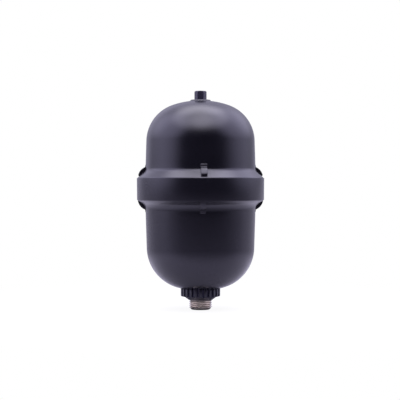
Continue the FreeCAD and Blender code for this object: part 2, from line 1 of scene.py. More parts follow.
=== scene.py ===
import bpy
import math
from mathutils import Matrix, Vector


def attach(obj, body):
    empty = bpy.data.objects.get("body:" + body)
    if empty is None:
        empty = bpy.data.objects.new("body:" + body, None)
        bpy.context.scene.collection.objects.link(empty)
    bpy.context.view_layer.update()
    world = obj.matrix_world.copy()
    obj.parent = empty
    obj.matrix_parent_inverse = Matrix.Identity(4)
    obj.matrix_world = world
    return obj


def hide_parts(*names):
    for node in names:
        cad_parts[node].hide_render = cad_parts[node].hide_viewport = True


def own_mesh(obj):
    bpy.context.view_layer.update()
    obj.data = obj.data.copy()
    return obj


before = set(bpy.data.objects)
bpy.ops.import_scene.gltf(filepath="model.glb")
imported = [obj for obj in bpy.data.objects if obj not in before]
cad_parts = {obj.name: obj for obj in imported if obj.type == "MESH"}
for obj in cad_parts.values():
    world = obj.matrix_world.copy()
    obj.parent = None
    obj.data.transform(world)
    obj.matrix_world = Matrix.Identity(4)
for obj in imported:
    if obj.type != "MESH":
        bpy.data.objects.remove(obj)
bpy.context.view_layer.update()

bl_info = {
    "name": "Expansion Tank",
    "version": (1, 0, 0),
    "blender": (4, 5, 0),
    "location": "3D View > Sidebar > Tank",
    "description": "Pieces, finishes and studio of a small diaphragm expansion tank",
    "category": "Add Mesh",
}

MM = 0.001
MERGE = 0.000001
FULL_TURN = 2 * math.pi
AXIS_UP = (0, 0, 1)
BODY_STEPS = 144
FITTING_STEPS = 96
# Upper and lower half: the place in a pair of sizes, and the way from the joint plane
UPPER = 0
LOWER = 1
AWAY = (1, -1)
# Pipe thread form, in pitches: height of its full triangle, and round of its crests
THREAD_HEIGHT = 0.9605
THREAD_ROUND = 0.1373
# Turns by which a thread's blank passes its free end
SPARE_TURNS = 2
CREST_MARGIN = 0.03 * MM
RELIEF_BEVEL = 0.35 * MM
BOSS_EDGE = 0.25 * MM
BOSS_FOOT = 0.5 * MM
COLLAR_TOP_ROUND = 0.3 * MM
CAP_FOOT_ROUND = 0.2 * MM
BAR_ROUND = 0.4 * MM
CAP_SIDES = 6
WIRE_SIDES = 12
SPRING_STEPS = 36
PHOTO_POINTS = 400
# Moulded skins: roughness, grains in a millimetre and depth of the grain
UPPER_SKIN = (0.25, 2.5, 0.0012 * MM)
LOWER_SKIN = (0.26, 2.5, 0.0012 * MM)
BAND_SKIN = (0.26, 2.0, 0.0012 * MM)
COLLAR_SKIN = (0.42, 4.0, 0.003 * MM)
CAP_SKIN = (0.42, 3.0, 0.003 * MM)
# Matt ring round the valve: from full to none between two radii in millimetres, and the roughness it adds
MATT_RING = (9.0, 14.0)
MATT_GAIN = 0.3
# Painted light between the flutes, which lifts the shade in their grooves: how much paler than the plastic
# # it is, and in millimetres how deep below the tips it is full, how deep it starts to fade and how far on
# it is gone
GROOVE_PAINTED_LIGHT = 7.0
GROOVE_LIGHT_DEPTH = 2.0
GROOVE_LIGHT_END = 2.5
GROOVE_LIGHT_FADE = 0.5
# Depth below a thread's crests, in millimetres, at which the painted shade in the roots is full
ROOT_SHADE_DEPTH = 1.1
# Zones of the floor in metres from the axis or ahead of it: where a shade starts to change and where it has
# The foot, near, front and far zones bound painted shadow, light and shade in the floor's colour in
# reflections; the shadow zone fades the real shadow to white
FOOT_SHADOW_ZONE = (0.01, 0.02)
NEAR_LIGHT_ZONE = (0.12, 0.45)
FRONT_SHADE_ZONE = (0.03, 0.22)
FAR_SHADE_ZONE = (0.4, 1.0)
SHADOW_ZONE = (0.1, 0.3)
# Way ahead of the tank on the floor
AHEAD = (0.2, -0.98, 0)
FLOOR_SIZE = 12


def one_or_pair(label, words, values, scale, **kind):
    """One value, or a pair for the upper and the lower half, each times a scale."""
    values = [value * scale for value in values]
    if len(values) == 1:
        return bpy.props.FloatProperty(name=label, description=words, default=values[0], **kind)
    return bpy.props.FloatVectorProperty(name=label, description=words, default=values, size=2, **kind)


def length(label, words, *values):
    """A size in metres, given in millimetres."""
    return one_or_pair(label, words, values, MM, unit="LENGTH", precision=6)


def slant(label, words, *values):
    """An angle in radians, given in degrees."""
    return one_or_pair(label, words, values, math.radians(1), unit="ROTATION")


def number(label, words, value):
    return bpy.props.IntProperty(name=label, description=words, default=value, min=1)


def share(label, words, value):
    return bpy.props.FloatProperty(name=label, description=words, default=value, min=0, subtype="FACTOR")


def colour(label, words, value):
    return bpy.props.FloatVectorProperty(name=label, description=words, default=value, min=0, max=1, size=3,
                                         subtype="COLOR")


class TankShellSizes(bpy.types.PropertyGroup):
    joint: length("Joint", "Height of the plane where the half shells meet", 110.2)
    wall: length("Wall radius", "Outer wall radius, carried on to the joint plane", 50.85)
    thickness: length("Wall thickness", "Thickness of both shells", 3.5)
    draft: slant("Draft", "Lean of both walls away from the joint", 1.75)
    base: length("Base", "Height of the flat under the lower dome", 18.85)
    lower_knuckle: length("Lower corner", "Outer radius of the lower dome's corner", 38.2)
    upper_knuckle: length("Upper shoulder", "Outer radius of the upper dome's shoulder", 35.3)
    crown: length("Crown radius", "Outer radius of the upper dome's crown", 79.2)
    crown_top: length("Crown top", "Height of the top of the crown", 191.05)
    pad: length("Collar pad radius", "Flat of the lower dome that the collar bears on", 15.2)
    seat: length("Head seat", "Height of the flat inside that the nipple's head lies on", 23.25)
    seat_radius: length("Head seat radius", "Radius of that flat", 16.13)
    hole: length("Nipple hole", "Radius of the hole for the nipple", 10.6775)
    boss: length("Boss radius", "Foot of the raised ring round the cap", 9.8)
    boss_land: length("Boss top radius", "Flat on that ring", 8.7)
    boss_top: length("Boss top", "Height of that ring", 191.6)
    boss_round: length("Boss round", "Round of its edge", 0.4)
    neck: length("Neck radius", "Thickening inside the crown", 9.5)
    neck_foot: length("Neck foot", "Height of the thickening's foot", 184.0)
    valve_hole: length("Valve hole", "Radius of the hole for the charging valve", 4.42)
    upright: length("Upright wall", "The lower wall stands upright above this height", 89.0)
    upright_round: length("Upright round", "Round between the upright and the drafted wall", 300.0)
    rabbet: length("Rabbet radius", "Recess for the diaphragm's bead and its ring", 50.9)
    rabbet_drop: length("Rabbet drop", "Depth of the recess below the joint", 4.9)
    rabbet_rise: length("Rabbet rise", "Height of the recess above the joint", 3.1)


class TankFlangeSizes(bpy.types.PropertyGroup):
    band_height: length("Band height", "Height of the band, half of it on each shell", 20.1)
    band_radius: length("Band radius", "Outer radius of the band at the joint plane", 58.1)
    band_draft: slant("Band draft", "The band is widest at its top edge", 0.6)
    band_top_round: length("Band top round", "Round of the band's upper edge", 0.15)
    band_foot_round: length("Band foot round", "Round of the band's lower edge", 0.3)
    flange: length("Flange radius", "Radius of the flanges inside the band", 54.2)
    rim: length("Rim radius", "Rim that holds the band from above and below", 57.5)
    rim_edge: length("Rim edge", "Height of the rim's edge", 0.6, 0.2)
    rim_lean: length("Rim lean", "How far that edge leans in", 0.3, 0.0)
    rim_round: length("Rim round", "Round of the rim's corner", 0.3, 0.1)
    flare: slant("Flare", "Slope of the flare", 43.0, 35.0)
    hollow: length("Flare round", "Hollow round between the flare and its wall", 5.0, 8.0)
    key_height: length("Ridge height", "Ridges that tie band and flanges", 2.4)
    key_depth: length("Ridge depth", "Depth of these ridges", 0.9)
    key_rise: length("Ridge place", "Distance of a ridge from the joint plane", 5.2)
    rib_count: number("Ribs", "Gusset ribs in each flare", 4)
    rib_width: length("Rib width", "Width of a rib", 5.7, 5.0)
    rib_rise: length("Rib rise", "From the band to the far end of a rib's back", 10.0, 8.8)
    rib_inset: length("Rib inset", "Outer end of the back inside the rim", 0.6, 0.2)
    rib_front: length("Rib front", "Height of that end over the band", 2.75, 0.2)
    rib_bulge: length("Rib bulge", "How far the back stands out from its chord", 1.2, 1.5)
    rib_turn: slant("Rib turn", "Turn of the ribs from the front", 3.4, 2.4)
    nose: length("Rib nose", "Round nose of an upper rib", 1.0)
    rib_toe: length("Rib foot", "Thickness of the foot beyond the curved back", 0.35)
    rib_land: length("Rib foot length", "Length of that foot", 1.0)
    rib_bevel: length("Rib foot bevel", "Bevel at the foot's end", 1.5)
    rib_sink: length("Rib root depth", "Depth of a rib's root in the wall", 1.5)
    rib_edge: length("Rib edge round", "Round of a rib's long edges", 0.4)


class TankFittingSizes(bpy.types.PropertyGroup):
    thread: length("Water thread", "Radius over the crests of the water thread", 10.4775)
    thread_pitch: length("Water thread pitch", "Rise of the water thread in one turn", 1.814)
    lead: length("Thread lead", "Height of the taper that starts the thread", 2.2)
    lead_in: length("Thread lead depth", "Depth of that taper", 2.3)
    chamfer: length("Head chamfer", "Chamfer round the nipple's head", 0.9)
    free: length("Free thread", "Height of the thread below its relief groove", 8.5)
    relief: length("Relief groove", "Height of the relief groove", 1.4)
    relief_radius: length("Relief radius", "Radius of the relief groove", 9.1975)
    port: length("Water way", "Radius of the water way", 6.9975)
    head: length("Head radius", "Radius of the nipple's head", 16.0275)
    head_flat: length("Head flats", "Distance of the head's flats from the axis", 14.2275)
    head_top: length("Head top", "Height of the head's top", 27.25)
    bar_width: length("Bar width", "Width of the shell's bars beside the head", 3.0)
    bar_height: length("Bar height", "Height of these bars over the seat", 2.5)
    bar_length: length("Bar length", "Length of these bars", 14.0)
    bar_root: length("Bar root", "Depth of their root in the shell", 1.75)
    bar_gap: length("Bar gap", "Gap between the head's flats and the bars", 0.1)
    groove: length("Ring groove", "Inner radius of the groove for the ring", 10.9275)
    groove_width: length("Ring groove width", "Width of that groove", 2.4)
    groove_depth: length("Ring groove depth", "Depth of that groove", 2.0)
    collar: length("Collar radius", "Radius over the flutes", 18.05)
    collar_core: length("Collar core", "Radius at the foot of the flutes", 15.5)
    collar_rim: length("Collar rim radius", "Radius of the collar's lower rim", 10.9775)
    collar_bore: length("Collar bore", "Radius of the collar's bore", 10.5275)
    collar_foot: length("Collar foot", "Height of the collar's lower rim", 8.9)
    collar_cone: length("Collar cone", "Height of the underside of the flutes", 12.2)
    collar_round: length("Collar round", "Round of the flutes' lower corners", 0.6)
    collar_gap: length("Collar gap", "Gap between the flutes and the dome", 0.15)
    collar_pad: length("Collar pad", "Radius of the flat on the dome's pad", 15.3)
    flutes: number("Flutes", "Teeth round the collar", 24)
    flute_tip: length("Flute tip", "Width of a tooth at its tip", 2.3)
    flute_root: length("Flute root", "Width of a tooth at its foot", 2.9)
    flute_tip_round: length("Flute tip round", "Round of a tooth's edges", 0.35)
    flute_root_round: length("Flute root round", "Round at a tooth's foot", 0.45)


class TankValveSizes(bpy.types.PropertyGroup):
    thread: length("Valve thread", "Radius over the crests of the valve's thread", 3.85)
    thread_pitch: length("Valve thread pitch", "Rise of the valve's thread in one turn", 0.79375)
    runout: length("Thread run-out", "Plain neck below the valve's thread", 0.35)
    mouth: length("Valve mouth", "Height of the valve's mouth", 197.7)
    chamfer: length("Valve chamfer", "Chamfer of the mouth", 0.4)
    shank: length("Shank radius", "Radius of the valve's shank", 4.4)
    shank_top: length("Shank top", "Height of the shank's top", 191.3)
    flange: length("Valve flange", "Radius of the flange inside the crown", 8.0)
    flange_height: length("Valve flange height", "Thickness of that flange", 2.8)
    tail: length("Valve tail", "Radius of the tail", 3.4)
    tail_foot: length("Valve tail foot", "Height of the tail's end", 174.0)
    groove: length("Valve ring groove", "Inner radius of the ring's groove", 5.2)
    groove_width: length("Valve ring groove width", "Width of that groove", 2.0)
    groove_depth: length("Valve ring groove depth", "Depth of that groove", 1.45)
    core_hole: length("Core hole", "Radius of the hole for the core's plug", 2.65)
    core_bore: length("Core bore", "Radius of the bore below the core's seal", 2.1)
    cone_radius: length("Cone radius", "Radius at the top of the seal's cone", 2.45)
    cone_top: length("Cone top", "Depth of the cone's top below the mouth", 6.0)
    cone_foot: length("Cone foot", "Depth of the cone's foot below the mouth", 8.4)
    cone_margin: length("Cone margin", "Depth of the shoulder above the cone", 0.4)
    spring: length("Spring radius", "Radius of the spring at the middle of its wire", 0.95)
    wire: length("Spring wire", "Radius of the spring's wire", 0.12)
    spring_turns: number("Spring turns", "Turns of the spring", 5)
    spring_foot: length("Spring foot", "Height of the spring's lower end", 186.33)
    spring_top: length("Spring top", "Height of the spring's upper end", 191.37)
    cap: length("Cap half width", "Half the width across the flats of the cap", 4.86)
    cap_foot: length("Cap foot", "Height of the cap's foot", 191.8)
    cap_top: length("Cap top", "Height of the cap's top", 199.7)
    cap_round: length("Cap round", "Round of the top corners", 1.5)
    cap_edge: length("Cap edge round", "Round of the upright edges", 0.5)
    cap_room: length("Cap room", "Radius of the cap's bore", 3.91)
    cap_room_top: length("Cap room top", "Height of the cap's ceiling", 198.5)


class TankFinishes(bpy.types.PropertyGroup):
    shell: colour("Shell", "Colour of the moulded shells", (0.003, 0.0027, 0.0052))
    band: colour("Band", "Colour of the moulded band", (0.003, 0.0027, 0.0052))
    collar: colour("Collar", "Colour of the fluted collar", (0.006, 0.0054, 0.0105))
    cap: colour("Cap", "Colour of the valve's cap", (0.012, 0.010, 0.024))
    gloss: share("Gloss", "Strength of the plastic's reflection", 0.63)
    gloss_tint: colour("Gloss tint", "Tint of that reflection seen square on", (0.9, 0.88, 1.0))
    steel: colour("Nipple", "Colour of the nipple's steel", (0.80, 0.73, 0.64))
    steel_stain: colour("Nipple stain", "Colour of the thin stain on it", (0.66, 0.58, 0.51))
    brass: colour("Brass", "Colour of the valve's brass", (0.72, 0.52, 0.22))
    brass_stain: colour("Brass stain", "Colour of the thin stain on it", (0.48, 0.32, 0.13))
    wire: colour("Wire", "Colour of the spring's wire", (0.58, 0.58, 0.6))
    seal: colour("Seals", "Colour of the small seals", (0.012, 0.012, 0.013))
    diaphragm: colour("Diaphragm", "Colour of the rubber cup", (0.022, 0.022, 0.024))
    inner: colour("Inner plastic", "Colour of the unpainted inner mouldings", (0.62, 0.6, 0.54))


class TankStage(bpy.types.PropertyGroup):
    distance: length("Camera distance", "From the camera to the tank's axis", 1100)
    eye: length("Camera height", "Height of the camera over the floor", 117.9)
    aim: length("Aim height", "Height that the middle of the picture shows", 100.1)
    aside: length("Camera aside", "The camera stands this far left of the axis", 0.46)
    per_pixel: length("Scale", "Size of a picture point at the axis", 0.915)
    ceiling: share("Ceiling panel", "Brightness of the wide panel overhead", 2.33)
    front_top: share("Front top panel", "Brightness of the panel over the front", 2.2)
    back_top: share("Back top panel", "Brightness of the panel over the back", 2.1)
    left: share("Left panel", "Brightness of the left panel", 2.32)
    right: share("Right panel", "Brightness of the right panel", 2.16)
    back: share("Back wall", "Brightness of the wall behind", 0.65)
    back_sides: share("Back corners", "Brightness of the high panels behind, left and right", 0.78)
    low_sides: share("Low corners", "Brightness of the low panels behind, left and right", 0.17)
    room: share("Room", "Brightness of the dim rest of the room", 0.03)
    top_tint: colour("Top tint", "Colour of the light from overhead", (0.93, 0.91, 1.0))
    side_tint: colour("Side tint", "Colour of the light from the sides and the back", (0.79, 0.765, 1.0))
    floor: colour("Floor", "Colour of the floor", (0.85, 0.85, 0.85))
    # Painted contact shadow: the floor round the thread's foot is darker in reflections
    floor_foot_painted_shadow: colour("Floor at foot", "Its colour under the thread in reflections", (0.27, 0.264, 0.285))
    # Painted light and shade in reflections: the floor is lit near the tank, dimmer further out and shaded
    # in front
    floor_near_painted_light: colour("Near floor", "Its colour near the tank in reflections", (0.47, 0.46, 0.5))
    floor_wide_painted_light: colour("Wide floor", "Its colour further out in reflections", (0.25, 0.245, 0.265))
    floor_front_painted_shade: colour("Front floor", "Its colour in front in reflections", (0.15, 0.147, 0.16))
    floor_lift: share("Floor lift", "How far the floor is lifted to white", 0.9)


def leave_edit():
    if bpy.context.mode != "OBJECT":
        bpy.ops.object.mode_set(mode="OBJECT")


def deselect():
    """Object mode with nothing selected, as before each new primitive."""
    leave_edit()
    bpy.ops.object.select_all(action="DESELECT")


def choose(*pieces):
    """Only these pieces are selected, and the first is the active one."""
    deselect()
    for piece in pieces:
        piece.select_set(True)
    bpy.context.view_layer.objects.active = pieces[0]


def apply_place(piece):
    """Puts a piece's place, turn and size into its mesh."""
    choose(piece)
    bpy.ops.object.transform_apply(location=True, rotation=True, scale=True)


def edit_all(piece):
    choose(piece)
    bpy.ops.object.mode_set(mode="EDIT")
    bpy.ops.mesh.select_mode(type="VERT")
    bpy.ops.mesh.select_all(action="SELECT")


def merge_all():
    """In edit mode: merges doubles."""
    bpy.ops.mesh.select_all(action="SELECT")
    bpy.ops.mesh.remove_doubles(threshold=MERGE)


def draw_line(name, points):
    """New piece in edit mode: one vertex, extruded from point to point."""
    deselect()
    bpy.ops.mesh.primitive_plane_add(size=MM, location=points[0])
    piece = bpy.context.object
    piece.name = name
    apply_place(piece)
    edit_all(piece)
    bpy.ops.mesh.merge(type="CENTER")
    for start, end in zip(points, points[1:]):
        step = Vector(end) - Vector(start)
        bpy.ops.mesh.extrude_region_move(TRANSFORM_OT_translate={"value": step})
    merge_all()
    return piece


def close_up():
    """Ends the edit: doubles are merged and all faces turned outwards."""
    merge_all()
    bpy.ops.mesh.normals_make_consistent(inside=False)
    leave_edit()


def meridian(points):
    """Points (radius, height) as points in space, on the tank's right side."""
    return [(radius, 0, height) for radius, height in points]


def turn_on_lathe(name, points, steps):
    """Body of revolution about the tank's axis."""
    piece = draw_line(name, meridian(points))
    bpy.ops.mesh.spin(steps=steps, angle=FULL_TURN, center=(0, 0, 0), axis=AXIS_UP)
    close_up()
    return piece


def thicken(offset):
    """In edit mode: fills the drawn outline and extrudes it."""
    bpy.ops.mesh.select_all(action="SELECT")
    bpy.ops.mesh.edge_face_add()
    bpy.ops.mesh.extrude_region_move(TRANSFORM_OT_translate={"value": offset})
    close_up()


def modify(piece, kind, **settings):
    """Adds a modifier with these settings and applies it."""
    choose(piece)
    bpy.ops.object.modifier_add(type=kind)
    change = piece.modifiers[-1]
    for key, value in settings.items():
        setattr(change, key, value)
    bpy.ops.object.modifier_apply(modifier=change.name)


def combine(piece, tool, operation):
    """Boolean of two pieces; the tool is used up."""
    modify(piece, "BOOLEAN", operation=operation, solver="MANIFOLD", object=tool)
    bpy.data.objects.remove(tool)


def round_edges(piece, width, steps, over):
    """Bevels every edge that turns by more than an angle in degrees."""
    modify(piece, "BEVEL", width=width, segments=steps, limit_method="ANGLE", angle_limit=math.radians(over))


def wind(piece, steps, rise, turns=1):
    """Winds an outline up the axis by a rise in each turn, and closes its ends."""
    modify(piece, "SCREW", angle=FULL_TURN, iterations=turns, screw_offset=rise, steps=steps,
           render_steps=steps)
    edit_all(piece)
    merge_all()
    bpy.ops.mesh.fill_holes(sides=0)
    close_up()


def turned_prism(name, sector, count, line):
    """Upright prism whose plan is one drawn sector repeated round the axis, turned to an outline."""
    low = min(height for radius, height in line) - MM
    high = max(height for radius, height in line) + MM
    piece = draw_line(name, [(x, y, low) for x, y in sector])
    bpy.ops.mesh.spin(steps=count, dupli=True, angle=FULL_TURN, center=(0, 0, 0), axis=AXIS_UP)
    merge_all()
    thicken((0, 0, high - low))
    combine(piece, turn_on_lathe("turned", line, FITTING_STEPS), "INTERSECT")
    return piece


def block(middle, size):
    """Upright box round a middle point."""
    deselect()
    bpy.ops.mesh.primitive_cube_add(size=1, location=middle)
    piece = bpy.context.object
    piece.scale = size
    apply_place(piece)
    return piece


def copies_round(piece, count, first_turn):
    """Copies of a piece round the axis, joined into one; the piece itself is used up."""
    copies = []
    for index in range(count):
        choose(piece)
        bpy.ops.object.duplicate()
        copy = bpy.context.object
        copy.rotation_euler.z = first_turn + index * FULL_TURN / count
        apply_place(copy)
        copies.append(copy)
    bpy.data.objects.remove(piece)
    choose(*copies)
    bpy.ops.object.join()
    return copies[0]


def complete(piece, node, finish, body="tank", smooth=35):
    """Shades a piece, gives it its material and its body, and hides the CAD node it stands for."""
    choose(piece)
    bpy.ops.object.shade_smooth_by_angle(angle=math.radians(smooth))
    piece.data.name = piece.name
    piece.data.materials.clear()
    piece.data.materials.append(finish)
    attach(piece, body)
    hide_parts(node)


def arc(centre, radius, start, end, steps):
    """Points of an arc between two angles."""
    points = []
    for index in range(steps + 1):
        angle = start + (end - start) * index / steps
        points.append((centre[0] + radius * math.cos(angle), centre[1] + radius * math.sin(angle)))
    return points


def rounded(corners, steps):
    """Line through corners (x, y, radius): a corner with a radius becomes an arc."""
    points = []
    last = len(corners) - 1
    for index, (x, y, radius) in enumerate(corners):
        if radius == 0 or index in (0, last):
            points.append((x, y))
            continue
        corner = Vector((x, y))
        before = (Vector(corners[index - 1][:2]) - corner).normalized()
        after = (Vector(corners[index + 1][:2]) - corner).normalized()
        half = before.angle(after) / 2
        centre = corner + (before + after).normalized() * radius / math.sin(half)
        first = corner + before * radius / math.tan(half) - centre
        final = corner + after * radius / math.tan(half) - centre
        start = math.atan2(first.y, first.x)
        sweep = (math.atan2(final.y, final.x) - start + math.pi) % FULL_TURN - math.pi
        points += arc(centre, radius, start, start + sweep, steps)
    return points


def sharp(points):
    """The same points as corners without a round."""
    return [(x, y, 0) for x, y in points]


def wall_radius(z, inset=0.0):
    """Radius of the shells' wall at a height, inset from its outer face."""
    sizes = bpy.context.scene.tank_shell
    return sizes.wall - abs(z - sizes.joint) * math.tan(sizes.draft) - inset / math.cos(sizes.draft)


def lower_corner():
    """Centre of the lower dome's corner."""
    sizes = bpy.context.scene.tank_shell
    z = sizes.base + sizes.lower_knuckle
    return wall_radius(z, sizes.lower_knuckle), z


def upper_shoulder():
    """Centre of the upper dome's shoulder, which touches both the crown and the wall."""
    sizes = bpy.context.scene.tank_shell
    slope = math.tan(sizes.draft)
    start = sizes.wall - sizes.upper_knuckle / math.cos(sizes.draft)
    rise = sizes.joint - sizes.crown_top + sizes.crown
    reach = sizes.crown - sizes.upper_knuckle
    # The height over the joint is up, with a * up ** 2 + b * up + c = 0
    a = 1 + slope ** 2
    b = 2 * (rise - start * slope)
    c = start ** 2 + rise ** 2 - reach ** 2
    up = (-b + math.sqrt(b ** 2 - 4 * a * c)) / (2 * a)
    return start - up * slope, sizes.joint + up


def seat_height(half):
    """Height at which the band ends on this half's rim."""
    scene = bpy.context.scene
    return scene.tank_shell.joint + AWAY[half] * scene.tank_flange.band_height / 2


def ridge_line(half):
    """Ridge that ties band and flange, from its far corner to its near one."""
    sizes = bpy.context.scene.tank_flange
    joint = bpy.context.scene.tank_shell.joint
    way = AWAY[half]
    far = sizes.key_rise + sizes.key_height / 2
    near = sizes.key_rise - sizes.key_height / 2
    deep = sizes.flange - sizes.key_depth
    slope = sizes.key_depth / 2
    return [
        (sizes.flange, joint + way * far),
        (deep, joint + way * (far - slope)),
        (deep, joint + way * (near + slope)),
        (sizes.flange, joint + way * near),
    ]


def flare_line(half):
    """Corners of a flare from its wall to its rim, and on to the flange and the joint plane."""
    shell = bpy.context.scene.tank_shell
    sizes = bpy.context.scene.tank_flange
    seat = seat_height(half)
    rim = Vector((sizes.rim - sizes.rim_lean[half], seat + AWAY[half] * sizes.rim_edge[half]))
    fall = math.tan(sizes.flare[half])
    if half == UPPER:
        run = (rim.x - wall_radius(rim.y)) / (1 / fall - math.tan(shell.draft))
    else:
        run = (rim.x - wall_radius(shell.upright)) * fall
    corners = [
        (rim.x - run / fall, rim.y + AWAY[half] * run, sizes.hollow[half]),
        (rim.x, rim.y, sizes.rim_round[half]),
        (sizes.rim, seat, 0),
        (sizes.flange, seat, 0),
    ]
    return corners + sharp(ridge_line(half)) + [(sizes.flange, shell.joint, 0)]


def upper_shell_line():
    """Outline of the upper shell; a ring just beyond the ribs' feet keeps the wall's shading even."""
    sizes = bpy.context.scene.tank_shell
    flange = bpy.context.scene.tank_flange
    ring = seat_height(UPPER) + flange.rib_rise[UPPER] + flange.rib_land + 2 * flange.rib_bevel
    crown = (0, sizes.crown_top - sizes.crown)
    shoulder = upper_shoulder()
    lean = math.atan2(shoulder[1] - crown[1], shoulder[0])
    inner_crown = sizes.crown - sizes.thickness
    boss_foot = math.acos(sizes.boss / sizes.crown)
    neck_top = math.acos(sizes.neck / inner_crown)
    rabbet_top = sizes.joint + sizes.rabbet_rise
    outer_crown = arc(crown, sizes.crown, boss_foot, lean, steps=24)
    line = rounded([
        (sizes.neck, sizes.neck_foot, 0),
        (sizes.valve_hole, sizes.neck_foot, 0),
        (sizes.valve_hole, sizes.boss_top, BOSS_EDGE),
        (sizes.boss_land, sizes.boss_top, sizes.boss_round),
        (*outer_crown[0], BOSS_FOOT),
        (*outer_crown[1], 0),
    ], steps=5)
    line += outer_crown[2:]
    line += arc(shoulder, sizes.upper_knuckle, lean, sizes.draft, steps=28)[1:]
    line.append((wall_radius(ring), ring))
    line += rounded([(*line[-1], 0)] + flare_line(UPPER), steps=12)[1:]
    line += [(sizes.rabbet, sizes.joint), (sizes.rabbet, rabbet_top)]
    line.append((wall_radius(rabbet_top, sizes.thickness), rabbet_top))
    line += arc(shoulder, sizes.upper_knuckle - sizes.thickness, sizes.draft, lean, steps=14)
    line += arc(crown, inner_crown, lean, neck_top, steps=10)[1:]
    line.append(line[0])
    return line


def lower_shell_line():
    """Outline of the lower shell, whose wall is drafted below and upright above, with a very wide round."""
    sizes = bpy.context.scene.tank_shell
    corner = lower_corner()
    inner = sizes.lower_knuckle - sizes.thickness
    pad_edge = -math.acos((sizes.pad - corner[0]) / sizes.lower_knuckle)
    seat_edge = -math.acos((sizes.seat_radius - corner[0]) / inner)
    rabbet_foot = sizes.joint - sizes.rabbet_drop
    wall_top = (wall_radius(sizes.upright), sizes.upright, sizes.upright_round)
    line = [(sizes.seat_radius, sizes.seat), (sizes.hole, sizes.seat), (sizes.hole, sizes.base)]
    line.append((sizes.pad, sizes.base))
    line += arc(corner, sizes.lower_knuckle, pad_edge, -sizes.draft, steps=40)
    line += rounded([(*line[-1], 0), wall_top] + flare_line(LOWER), steps=12)[1:]
    line += [(sizes.rabbet, sizes.joint), (sizes.rabbet, rabbet_foot)]
    line.append((wall_radius(rabbet_foot, sizes.thickness), rabbet_foot))
    line += arc(corner, inner, -sizes.draft, seat_edge, steps=20)
    line.append(line[0])
    return line


def rib_line(half):
    """Side view of a gusset rib: front, curved back, thin foot on the wall, root sunk in the wall."""
    sizes = bpy.context.scene.tank_flange
    seat = seat_height(half)
    way = AWAY[half]
    bulge = sizes.rib_bulge[half]
    outer = Vector((sizes.rim - sizes.rib_inset[half], seat + way * sizes.rib_front[half]))
    if half == UPPER:
        nose = (outer.x - sizes.nose, outer.y)
        front = [(nose[0], seat)] + arc(nose, sizes.nose, -math.pi / 2, 0, steps=5)
    else:
        front = [(outer.x, seat), tuple(outer)]
    back_z = seat + way * sizes.rib_rise[half]
    back = Vector((wall_radius(back_z) + sizes.rib_toe, back_z))
    land_z = back_z + way * sizes.rib_land
    toe_z = land_z + way * sizes.rib_bevel
    chord = back - outer
    radius = (chord.length ** 2 / 4 + bulge ** 2) / (2 * bulge)
    inward = Vector((-abs(chord.y), -way * abs(chord.x))).normalized()
    centre = (outer + back) / 2 + inward * (radius - bulge)
    start = math.atan2(outer.y - centre.y, outer.x - centre.x)
    end = math.atan2(back.y - centre.y, back.x - centre.x)
    return front + arc(centre, radius, start, end, steps=10)[1:] + [
        (wall_radius(land_z) + sizes.rib_toe, land_z),
        (wall_radius(toe_z), toe_z),
        (wall_radius(toe_z, sizes.rib_sink), toe_z),
        (wall_radius(seat, sizes.rib_sink), seat),
        front[0],
    ]


def gusset_ribs(half):
    """Ribs of one flare: a plate of a rib's side view, with rounded edges, copied round the axis."""
    sizes = bpy.context.scene.tank_flange
    width = sizes.rib_width[half]
    plate = draw_line("rib", [(r, -width / 2, z) for r, z in rib_line(half)])
    thicken((0, width, 0))
    round_edges(plate, sizes.rib_edge, steps=3, over=50)
    return copies_round(plate, sizes.rib_count, sizes.rib_turn[half] - math.pi / 2)


def screw_blank(crest, pitch, free_end, body_start, body_end, body_radius):
    """Solid with a rounded thread from its free end to where its thicker body starts.

    It is larger than the piece all round, and the piece is cut from it.
    """
    way = 1 if body_start > free_end else -1
    height = THREAD_HEIGHT * pitch
    soft = THREAD_ROUND * pitch
    tip = crest + height / 6
    root = tip - height
    start = free_end - way * SPARE_TURNS * pitch
    count = math.floor(abs(body_start - start) / pitch)
    corners = [(0, start, 0), (root, start, 0)]
    for index in range(count):
        corners.append((tip, start + way * (index + 0.5) * pitch, soft))
        corners.append((root, start + way * (index + 1) * pitch, soft))
    body = corners[-1][1]
    corners[-1] = (root, body, 0)
    corners += sharp([(body_radius, body), (body_radius, body_end), (0, body_end)])
    blank = draw_line("blank", meridian(rounded(corners, steps=3)))
    wind(blank, FITTING_STEPS, pitch)
    return blank


def ring_groove(sizes, face, way):
    """Groove for a seal in a flat face, from its inner edge to its outer one."""
    outer = sizes.groove + sizes.groove_width
    deep = face + way * sizes.groove_depth
    return [(sizes.groove, face), (sizes.groove, deep), (outer, deep), (outer, face)]


def nipple_line():
    """Outline of the nipple, a little over the thread's crests."""
    sizes = bpy.context.scene.tank_fitting
    seat = bpy.context.scene.tank_shell.seat
    over = sizes.thread + CREST_MARGIN
    relief_top = sizes.free + sizes.relief
    return [
        (sizes.port, 0),
        (over - sizes.lead_in, 0),
        (over, sizes.lead),
        (over, sizes.free - RELIEF_BEVEL),
        (sizes.relief_radius, sizes.free),
        (sizes.relief_radius, relief_top),
        (over, relief_top + RELIEF_BEVEL),
        (over, seat),
        *ring_groove(sizes, seat, 1),
        (sizes.head, seat),
        (sizes.head, sizes.head_top - sizes.chamfer),
        (sizes.head - sizes.chamfer, sizes.head_top),
        (sizes.port, sizes.head_top),
        (sizes.port, 0),
    ]


